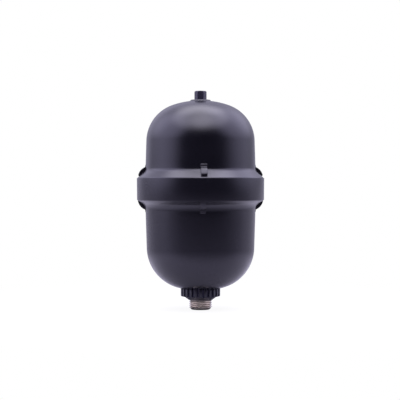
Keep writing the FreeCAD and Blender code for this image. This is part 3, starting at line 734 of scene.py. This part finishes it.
def collar_line():
    """Turned outline of the collar; its top follows the dome at a small distance."""
    sizes = bpy.context.scene.tank_fitting
    shell = bpy.context.scene.tank_shell
    corner = lower_corner()
    clear = shell.lower_knuckle + sizes.collar_gap
    inner = -math.acos((sizes.collar_pad - corner[0]) / clear)
    over = sizes.collar + CREST_MARGIN
    outer = -math.acos((over - corner[0]) / clear)
    hug = arc(corner, clear, outer, inner, steps=4)
    line = rounded([
        (sizes.collar_pad, shell.base, 0),
        (sizes.collar_bore, shell.base, 0),
        (sizes.collar_bore, sizes.collar_foot, 0),
        (sizes.collar_rim, sizes.collar_foot, 0),
        (sizes.collar_core, sizes.collar_cone, 0),
        (over, sizes.collar_cone, sizes.collar_round),
        (*hug[0], COLLAR_TOP_ROUND),
        (*hug[1], 0),
    ], steps=5)
    return line + hug[2:] + line[:1]


def flute_sector():
    """Plan of one tooth of the collar, from the middle of one gap to the next."""
    sizes = bpy.context.scene.tank_fitting
    root = math.asin(sizes.flute_root / 2 / sizes.collar_core)
    tip = math.asin(sizes.flute_tip / 2 / sizes.collar)
    low = arc((0, 0), sizes.collar_core, root, math.pi / sizes.flutes, steps=1)
    high = arc((0, 0), sizes.collar, 0, tip, steps=1)
    side = [(*high[1], sizes.flute_tip_round), (*low[0], sizes.flute_root_round), (*low[1], 0)]
    mirrored = [(x, -y, radius) for x, y, radius in reversed(side)]
    return rounded(mirrored + [(*high[0], 0)] + side, steps=3)


def valve_line():
    """Outline of the valve's body, a little over the thread's crests."""
    sizes = bpy.context.scene.tank_valve
    neck = bpy.context.scene.tank_shell.neck_foot
    over = sizes.thread + CREST_MARGIN
    flange_foot = neck - sizes.flange_height
    cone_top = sizes.mouth - sizes.cone_top
    return [
        (sizes.core_hole, sizes.mouth),
        (over - sizes.chamfer, sizes.mouth),
        (over, sizes.mouth - sizes.chamfer),
        (over, sizes.shank_top),
        (sizes.shank, sizes.shank_top),
        (sizes.shank, neck),
        *ring_groove(sizes, neck, -1),
        (sizes.flange, neck),
        (sizes.flange, flange_foot),
        (sizes.tail, flange_foot),
        (sizes.tail, sizes.tail_foot),
        (sizes.core_bore, sizes.tail_foot),
        (sizes.core_bore, sizes.mouth - sizes.cone_foot),
        (sizes.cone_radius, cone_top),
        (sizes.core_hole, cone_top + sizes.cone_margin),
        (sizes.core_hole, sizes.mouth),
    ]


def hexagon_sector():
    """Plan of one upright edge of the cap, from the middle of one flat to the next."""
    sizes = bpy.context.scene.tank_valve
    half = math.pi / CAP_SIDES
    flat = arc((0, 0), sizes.cap, -half, half, steps=1)
    corner = sizes.cap / math.cos(half)
    return rounded([(*flat[0], 0), (corner, 0, sizes.cap_edge), (*flat[1], 0)], steps=4)


def cap_line():
    """Turned outline that rounds the cap's top corners and hollows its bore."""
    sizes = bpy.context.scene.tank_valve
    over = sizes.cap / math.cos(math.pi / CAP_SIDES) + CREST_MARGIN
    return rounded([
        (0, sizes.cap_room_top, 0),
        (sizes.cap_room, sizes.cap_room_top, 0),
        (sizes.cap_room, sizes.cap_foot, CAP_FOOT_ROUND),
        (over, sizes.cap_foot, CAP_FOOT_ROUND),
        (over, sizes.cap_top, sizes.cap_round),
        (0, sizes.cap_top, 0),
        (0, sizes.cap_room_top, 0),
    ], steps=8)


class Signal:
    """A shader value that is added, multiplied and divided like a number."""

    def __init__(self, paint, socket):
        self.paint = paint
        self.socket = socket

    def math(self, operation, first, second):
        return self.paint.node("ShaderNodeMath", {"operation": operation}, {0: first, 1: second})

    def __add__(self, other):
        return self.math("ADD", self, other)

    def __radd__(self, other):
        return self.math("ADD", other, self)

    def __sub__(self, other):
        return self.math("SUBTRACT", self, other)

    def __rsub__(self, other):
        return self.math("SUBTRACT", other, self)

    def __mul__(self, other):
        return self.math("MULTIPLY", self, other)

    def __rmul__(self, other):
        return self.math("MULTIPLY", other, self)

    def __truediv__(self, other):
        return self.math("DIVIDE", self, other)

    def ramp(self, low, high):
        """0 below low, 1 above high and smooth between them."""
        values = {"Value": self, "From Min": low, "From Max": high}
        return self.paint.node("ShaderNodeMapRange", {"interpolation_type": "SMOOTHSTEP"}, values)


class Paint:
    """Node tree of a material or of the world, filled node by node."""

    def __init__(self, owner):
        owner.use_nodes = True
        self.owner = owner
        self.tree = owner.node_tree
        self.tree.nodes.clear()

    def node(self, kind, settings=None, inputs=None, output=0):
        """Adds a node with values or signals on its inputs, and gives one of its outputs."""
        node = self.tree.nodes.new(kind)
        for key, value in (settings or {}).items():
            setattr(node, key, value)
        for key, value in (inputs or {}).items():
            if isinstance(value, Signal):
                self.tree.links.new(value.socket, node.inputs[key])
            else:
                node.inputs[key].default_value = value
        return Signal(self, node.outputs[output]) if node.outputs else None

    def place(self, stretch=(1, 1, 1)):
        """Object coordinates in millimetres, stretched if wanted."""
        here = self.node("ShaderNodeTexCoord", output="Object")
        scale = tuple(value / MM for value in stretch)
        return self.node("ShaderNodeVectorMath", {"operation": "MULTIPLY"}, {0: here, 1: scale})

    def measure(self, operation, first, second=(0, 0, 0)):
        """Number from vectors: a length, a distance or a dot product."""
        return self.node("ShaderNodeVectorMath", {"operation": operation}, {0: first, 1: second}, "Value")

    def inside(self, crest, depth):
        """0 at a crest radius in metres, and 1 from a depth in millimetres below it."""
        out = self.measure("LENGTH", self.place((1, 1, 0)))
        return 1 - out.ramp(crest / MM - depth, crest / MM)

    def noise(self, place, per_mm, detail=2.0):
        return self.node("ShaderNodeTexNoise", {}, {"Vector": place, "Scale": per_mm, "Detail": detail})

    def mix(self, factor, first, second):
        """Colour between two colours or colour signals, on the Mix node's sockets for colours."""
        ends = [end if isinstance(end, Signal) else (*end, 1) for end in (first, second)]
        return self.node("ShaderNodeMix", {"data_type": "RGBA"}, {0: factor, 6: ends[0], 7: ends[1]}, 2)

    def bump(self, height, depth):
        return self.node("ShaderNodeBump", {}, {"Height": height, "Distance": depth, "Strength": 1.0})

    def surface(self, shader):
        """Ends a material and gives it back."""
        self.node("ShaderNodeOutputMaterial", {}, {"Surface": shader})
        return self.owner

    def principled(self, values):
        return self.surface(self.node("ShaderNodeBsdfPrincipled", {}, values))


def new_paint(name):
    return Paint(bpy.data.materials.new(name))


def toned(colour, factor):
    """A colour made paler or darker."""
    return tuple(factor * value for value in colour)


def uneven(middle, *noises):
    """A value that noises, which vary about 0.5, move up and down, each over its own width."""
    for noise, width in noises:
        middle = middle + width * (noise - 0.5)
    return middle


def plastic(name, colour, skin, matt=None, crest=0.0):
    """Black moulded plastic: uneven gloss, a fine grain and the mould's slight waviness.

    Round a point in millimetres it may be matt, as where the mould is textured round the valve.
    Inside a crest radius it may be paler, as painted light that lifts the shade in the grooves between
    flutes.
    """
    finish = bpy.context.scene.tank_finish
    roughness, grain, grain_depth = skin
    paint = new_paint(name)
    place = paint.place()
    cloud = paint.noise(place, per_mm=0.035, detail=3.0)
    fine = paint.noise(place, per_mm=grain)
    waves = paint.noise(place, per_mm=0.12, detail=1.0)
    base = paint.mix(cloud, colour, toned(colour, 1.5))
    if matt:
        roughness = roughness + MATT_GAIN * (1 - paint.measure("DISTANCE", place, matt).ramp(*MATT_RING))
    if crest:
        # Painted light: the grooves between the flutes are paler, to lift their shade
        groove = paint.inside(crest, GROOVE_LIGHT_DEPTH) * (1 - paint.inside(crest - GROOVE_LIGHT_END * MM, GROOVE_LIGHT_FADE))
        base = paint.mix(groove, base, toned(colour, GROOVE_PAINTED_LIGHT))
    return paint.principled({
        "Base Color": base,
        "Roughness": uneven(roughness, (cloud, 0.08), (fine, 0.06)),
        "Specular IOR Level": finish.gloss,
        "Specular Tint": (*finish.gloss_tint, 1),
        "Normal": paint.bump(fine + 2.0 * waves, grain_depth),
    })


def turned_metal(name, colour, stain, roughness, crest=0.0):
    """Turned metal: tool marks round the axis, a thin uneven stain and painted shade in a thread's roots."""
    paint = new_paint(name)
    marks = paint.noise(paint.place((0.15, 0.15, 1)), per_mm=9.0)
    cloud = paint.noise(paint.place(), per_mm=0.5, detail=4.0)
    base = paint.mix(cloud.ramp(0.45, 0.75), colour, stain)
    if crest:
        # Painted shade: a thread's roots are darkened with half the stain's colour
        base = paint.mix(paint.inside(crest, ROOT_SHADE_DEPTH), base, toned(stain, 0.5))
    return paint.principled({
        "Base Color": base,
        "Metallic": 1.0,
        "Roughness": uneven(roughness, (marks, 0.14), (cloud, 0.12)),
        "Normal": paint.bump(marks, depth=0.006 * MM),
    })


def rubber(name, colour, roughness):
    """Moulded rubber: matt, a little dusty, with a fine skin."""
    paint = new_paint(name)
    place = paint.place()
    dust = paint.noise(place, per_mm=0.3, detail=5.0)
    skin = paint.noise(place, per_mm=6.0)
    dusty = tuple(value + 0.02 for value in colour)
    return paint.principled({
        "Base Color": paint.mix(dust.ramp(0.4, 0.8), colour, dusty),
        "Roughness": uneven(roughness, (skin, 0.1)),
        "Normal": paint.bump(skin, depth=0.01 * MM),
    })


def pale_plastic(name, colour, roughness):
    """Natural moulded plastic of the inner pieces."""
    paint = new_paint(name)
    place = paint.place()
    cloud = paint.noise(place, per_mm=0.08, detail=3.0)
    fine = paint.noise(place, per_mm=5.0)
    return paint.principled({
        "Base Color": paint.mix(cloud, colour, toned(colour, 0.86)),
        "Roughness": uneven(roughness, (fine, 0.1)),
        "Normal": paint.bump(fine, depth=0.004 * MM),
    })


class TANK_OT_upper_shell(bpy.types.Operator):
    """Moulded upper shell: dome, wall, flare, gusset ribs and the boss round the cap"""
    bl_idname = "tank.upper_shell"
    bl_label = "Upper Shell"

    def execute(self, context):
        piece = turn_on_lathe("upper_shell_moulded", upper_shell_line(), BODY_STEPS)
        combine(piece, gusset_ribs(UPPER), "UNION")
        crown = (0, 0, context.scene.tank_shell.crown_top / MM)
        finish = plastic("shell_black_upper", context.scene.tank_finish.shell, UPPER_SKIN, matt=crown)
        complete(piece, "upper_shell", finish)
        return {"FINISHED"}


class TANK_OT_lower_shell(bpy.types.Operator):
    """Moulded lower shell: dome, wall, flare, gusset ribs and the bars beside the nipple's head"""
    bl_idname = "tank.lower_shell"
    bl_label = "Lower Shell"

    def execute(self, context):
        sizes = context.scene.tank_fitting
        seat = context.scene.tank_shell.seat
        piece = turn_on_lathe("lower_shell_moulded", lower_shell_line(), BODY_STEPS)
        combine(piece, gusset_ribs(LOWER), "UNION")
        z = seat + (sizes.bar_height - sizes.bar_root) / 2
        bar_size = (sizes.bar_length, sizes.bar_width, sizes.bar_height + sizes.bar_root)
        for side in (-1, 1):
            bar = block((0, side * (sizes.head_flat + sizes.bar_gap + sizes.bar_width / 2), z), bar_size)
            round_edges(bar, BAR_ROUND, steps=2, over=30)
            combine(piece, bar, "UNION")
        finish = plastic("shell_black_lower", context.scene.tank_finish.shell, LOWER_SKIN)
        complete(piece, "lower_shell", finish)
        return {"FINISHED"}


class TANK_OT_joint_band(bpy.types.Operator):
    """Band moulded round the two flanges, with its ridges in their grooves"""
    bl_idname = "tank.joint_band"
    bl_label = "Joint Band"

    def execute(self, context):
        sizes = context.scene.tank_flange
        low, high = seat_height(LOWER), seat_height(UPPER)
        lean = sizes.band_height / 2 * math.tan(sizes.band_draft)
        line = rounded([
            (sizes.flange, low, 0),
            (sizes.band_radius - lean, low, sizes.band_foot_round),
            (sizes.band_radius + lean, high, sizes.band_top_round),
            (sizes.flange, high, 0),
        ], steps=6)
        line += ridge_line(UPPER) + ridge_line(LOWER)[::-1] + line[:1]
        piece = turn_on_lathe("joint_band_moulded", line, BODY_STEPS)
        finish = plastic("band_black", context.scene.tank_finish.band, BAND_SKIN)
        complete(piece, "joint_band", finish)
        return {"FINISHED"}


class TANK_OT_fluted_collar(bpy.types.Operator):
    """Fluted back nut under the lower dome"""
    bl_idname = "tank.fluted_collar"
    bl_label = "Fluted Collar"

    def execute(self, context):
        sizes = context.scene.tank_fitting
        piece = turned_prism("fluted_collar_moulded", flute_sector(), sizes.flutes, collar_line())
        finish = plastic("collar_black", context.scene.tank_finish.collar, COLLAR_SKIN, crest=sizes.collar)
        complete(piece, "fluted_collar", finish)
        return {"FINISHED"}


class TANK_OT_water_nipple(bpy.types.Operator):
    """Threaded water nipple with its head inside the lower dome"""
    bl_idname = "tank.water_nipple"
    bl_label = "Water Nipple"

    def execute(self, context):
        sizes = context.scene.tank_fitting
        finishes = context.scene.tank_finish
        seat = context.scene.tank_shell.seat
        piece = turn_on_lathe("water_nipple_threaded", nipple_line(), FITTING_STEPS)
        threaded = seat - 2 * sizes.thread_pitch
        blank = screw_blank(sizes.thread, sizes.thread_pitch, 0, threaded, 2 * seat, 2 * sizes.head)
        combine(piece, blank, "INTERSECT")
        waste_size = (4 * sizes.head, sizes.head, 2 * sizes.head)
        for side in (-1, 1):
            waste = block((0, side * (sizes.head_flat + sizes.head / 2), seat + sizes.head / 2), waste_size)
            combine(piece, waste, "DIFFERENCE")
        finish = turned_metal("nipple_steel", finishes.steel, finishes.steel_stain, roughness=0.15,
                              crest=sizes.thread)
        complete(piece, "water_nipple", finish)
        return {"FINISHED"}


class TANK_OT_charging_valve(bpy.types.Operator):
    """Brass body of the charging valve with its threaded stub"""
    bl_idname = "tank.charging_valve"
    bl_label = "Charging Valve"

    def execute(self, context):
        sizes = context.scene.tank_valve
        finishes = context.scene.tank_finish
        piece = turn_on_lathe("valve_body_threaded", valve_line(), FITTING_STEPS)
        threaded = sizes.shank_top + sizes.runout
        blank = screw_blank(sizes.thread, sizes.thread_pitch, sizes.mouth, threaded, 0, 2 * sizes.flange)
        combine(piece, blank, "INTERSECT")
        finish = turned_metal("valve_brass_body", finishes.brass, finishes.brass_stain, roughness=0.24)
        complete(piece, "valve_body", finish)
        return {"FINISHED"}


class TANK_OT_valve_cap(bpy.types.Operator):
    """Small hexagonal cap of the charging valve"""
    bl_idname = "tank.valve_cap"
    bl_label = "Valve Cap"

    def execute(self, context):
        piece = turned_prism("valve_cap_moulded", hexagon_sector(), CAP_SIDES, cap_line())
        finish = plastic("cap_black", context.scene.tank_finish.cap, CAP_SKIN)
        complete(piece, "valve_cap", finish, body="valve_cap", smooth=30)
        return {"FINISHED"}


class TANK_OT_valve_spring(bpy.types.Operator):
    """Coil spring of the valve core, wound at one length; the real spring shortens as the pin is pressed"""
    bl_idname = "tank.valve_spring"
    bl_label = "Valve Spring"

    def execute(self, context):
        sizes = context.scene.tank_valve
        wire = context.scene.tank_finish.wire
        rise = sizes.spring_top - sizes.spring_foot - 2 * sizes.wire
        deselect()
        bpy.ops.mesh.primitive_circle_add(vertices=WIRE_SIDES, radius=sizes.wire,
                                          location=(sizes.spring, 0, sizes.spring_foot + sizes.wire),
                                          rotation=(math.pi / 2, 0, 0))
        piece = context.object
        piece.name = "valve_spring_coil"
        apply_place(piece)
        wind(piece, SPRING_STEPS, rise / sizes.spring_turns, sizes.spring_turns)
        finish = turned_metal("spring_steel", wire, wire, roughness=0.28)
        complete(piece, "valve_spring", finish, smooth=40)
        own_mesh(piece)
        return {"FINISHED"}


class TANK_OT_inner_pieces(bpy.types.Operator):
    """Finishes of the pieces inside, whose modelled form is right as it is"""
    bl_idname = "tank.inner_pieces"
    bl_label = "Inner Pieces"

    def execute(self, context):
        finishes = context.scene.tank_finish
        cup = rubber("diaphragm_rubber", finishes.diaphragm, roughness=0.6)
        inner = pale_plastic("inner_plastic", finishes.inner, roughness=0.46)
        seal = rubber("seal_rubber", finishes.seal, roughness=0.5)
        brass = turned_metal("valve_brass_core", finishes.brass, finishes.brass_stain, roughness=0.28)
        dressed = (
            (cup, "diaphragm"),
            (inner, "diaphragm_clamp_ring", "diaphragm_button"),
            (seal, "nipple_o_ring", "valve_o_ring", "core_seal_ring", "pin_cup_seal", "cap_gasket"),
            (brass, "core_plug", "core_barrel", "valve_pin", "pin_cup"),
        )
        for finish, *names in dressed:
            for name in names:
                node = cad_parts[name]
                node.data.materials.clear()
                node.data.materials.append(finish)
        return {"FINISHED"}


def soft_light(paint, panels):
    """Light from round soft panels, each even inside its core angle and gone beyond its edge angle.

    A row holds a panel's brightness, its turn to the right of the camera's place, its rise over the horizon
    and these two angles, in degrees.
    """
    way = paint.node("ShaderNodeTexCoord", output="Generated")
    light = 0.0
    for brightness, *angles in panels:
        turn, rise, core, edge = (math.radians(angle) for angle in angles)
        middle = (math.cos(rise) * math.sin(turn), -math.cos(rise) * math.cos(turn), math.sin(rise))
        near = paint.measure("DOT_PRODUCT", way, middle)
        light = light + brightness * near.ramp(math.cos(edge), math.cos(core))
    return light


class TANK_OT_stage(bpy.types.Operator):
    """Pale floor, a white room with soft studio light and the camera of the photograph"""
    bl_idname = "tank.stage"
    bl_label = "Stage"

    def execute(self, context):
        self.floor(context)
        self.room(context)
        self.camera(context)
        context.scene.view_settings.view_transform = "Standard"
        return {"FINISHED"}

    def floor(self, context):
        """Floor that the camera sees white, with the tank's shadow, and that the tank mirrors darker, with
        painted light and shade in its colour.
        """
        deselect()
        bpy.ops.mesh.primitive_plane_add(size=FLOOR_SIZE)
        floor = context.object
        floor.name = "stage_floor"
        stage = context.scene.tank_stage
        paint = new_paint("stage_floor")
        here = paint.node("ShaderNodeTexCoord", output="Object")
        reach = paint.measure("LENGTH", here)
        ahead = paint.measure("DOT_PRODUCT", here, AHEAD)
        seen = paint.node("ShaderNodeLightPath", output="Is Camera Ray")
        # The floor's colour in reflections holds painted light near the tank, dimmer further out, painted
        # shade in front and black far ahead
        mirrored = paint.mix(reach.ramp(*NEAR_LIGHT_ZONE), stage.floor_near_painted_light, stage.floor_wide_painted_light)
        mirrored = paint.mix(ahead.ramp(*FRONT_SHADE_ZONE), mirrored, stage.floor_front_painted_shade)
        # Painted contact shadow round the thread's foot, in the floor's colour in reflections
        mirrored = paint.mix(reach.ramp(*FOOT_SHADOW_ZONE), stage.floor_foot_painted_shadow, mirrored)
        mirrored = paint.mix(ahead.ramp(*FAR_SHADE_ZONE), mirrored, (0, 0, 0))
        lit = paint.node("ShaderNodeBsdfDiffuse", {}, {"Color": paint.mix(seen, mirrored, stage.floor)})
        white = paint.node("ShaderNodeEmission", {}, {"Color": (1, 1, 1, 1), "Strength": 1.0})
        lift = seen * (stage.floor_lift + (1 - stage.floor_lift) * reach.ramp(*SHADOW_ZONE))
        finish = paint.surface(paint.node("ShaderNodeMixShader", {}, {0: lift, 1: lit, 2: white}))
        floor.data.materials.append(finish)

    def room(self, context):
        """Room that the camera sees white, and that lights the tank from soft panels."""
        stage = context.scene.tank_stage
        world = bpy.data.worlds.new("stage_room")
        context.scene.world = world
        paint = Paint(world)
        top = soft_light(paint, (
            (stage.ceiling, 0, 75, 28, 51),
            (stage.front_top, 3, 60, 0, 26),
            (stage.back_top, 183, 75, 2, 33),
        ))
        around = stage.room + soft_light(paint, (
            (stage.left, -82, 32, 0, 51),
            (stage.right, 94, 39, 0, 54),
            (stage.back, 184, 5, 29, 72),
            (stage.back_sides, -131, 42, 0, 48),
            (stage.back_sides, 131, 45, 0, 43),
            (stage.low_sides, -125, 2, 0, 28),
            (stage.low_sides, 122, 2, 0, 28),
        ))
        light = top + around
        tint = paint.mix(around / light, stage.top_tint, stage.side_tint)
        seen = paint.node("ShaderNodeLightPath", output="Is Camera Ray")
        air = paint.node("ShaderNodeBackground", {}, {
            "Color": paint.mix(seen, tint, (1, 1, 1)),
            "Strength": seen + (1 - seen) * light,
        })
        paint.node("ShaderNodeOutputWorld", {}, {"Surface": air})

    def camera(self, context):
        stage = context.scene.tank_stage
        tilt = math.atan2(stage.eye - stage.aim, stage.distance)
        place = (-stage.aside, -stage.distance, stage.eye)
        bpy.ops.object.camera_add(location=place, rotation=(math.pi / 2 - tilt, 0, 0))
        camera = context.object
        camera.name = "photograph_camera"
        camera.data.lens = camera.data.sensor_width * stage.distance / (stage.per_pixel * PHOTO_POINTS)
        context.scene.camera = camera


class TANK_PT_panel(bpy.types.Panel):
    """Lists the pieces of the tank"""
    bl_idname = "TANK_PT_panel"
    bl_label = "Expansion Tank"
    bl_space_type = "VIEW_3D"
    bl_region_type = "UI"
    bl_category = "Tank"

    def draw(self, context):
        for operator in OPERATORS:
            self.layout.operator(operator.bl_idname)


GROUPS = {
    "tank_shell": TankShellSizes,
    "tank_flange": TankFlangeSizes,
    "tank_fitting": TankFittingSizes,
    "tank_valve": TankValveSizes,
    "tank_finish": TankFinishes,
    "tank_stage": TankStage,
}
OPERATORS = (
    TANK_OT_stage,
    TANK_OT_upper_shell,
    TANK_OT_lower_shell,
    TANK_OT_joint_band,
    TANK_OT_fluted_collar,
    TANK_OT_water_nipple,
    TANK_OT_charging_valve,
    TANK_OT_valve_cap,
    TANK_OT_valve_spring,
    TANK_OT_inner_pieces,
)


def register():
    for name, group in GROUPS.items():
        bpy.utils.register_class(group)
        setattr(bpy.types.Scene, name, bpy.props.PointerProperty(type=group))
    for operator in OPERATORS:
        bpy.utils.register_class(operator)
    bpy.utils.register_class(TANK_PT_panel)


def unregister():
    bpy.utils.unregister_class(TANK_PT_panel)
    for operator in reversed(OPERATORS):
        bpy.utils.unregister_class(operator)
    for name, group in GROUPS.items():
        delattr(bpy.types.Scene, name)
        bpy.utils.unregister_class(group)


def main():
    register()
    bpy.ops.tank.stage()
    bpy.ops.tank.upper_shell()
    bpy.ops.tank.lower_shell()
    bpy.ops.tank.joint_band()
    bpy.ops.tank.fluted_collar()
    bpy.ops.tank.water_nipple()
    bpy.ops.tank.charging_valve()
    bpy.ops.tank.valve_cap()
    bpy.ops.tank.valve_spring()
    bpy.ops.tank.inner_pieces()


if __name__ == "__main__":
    main()
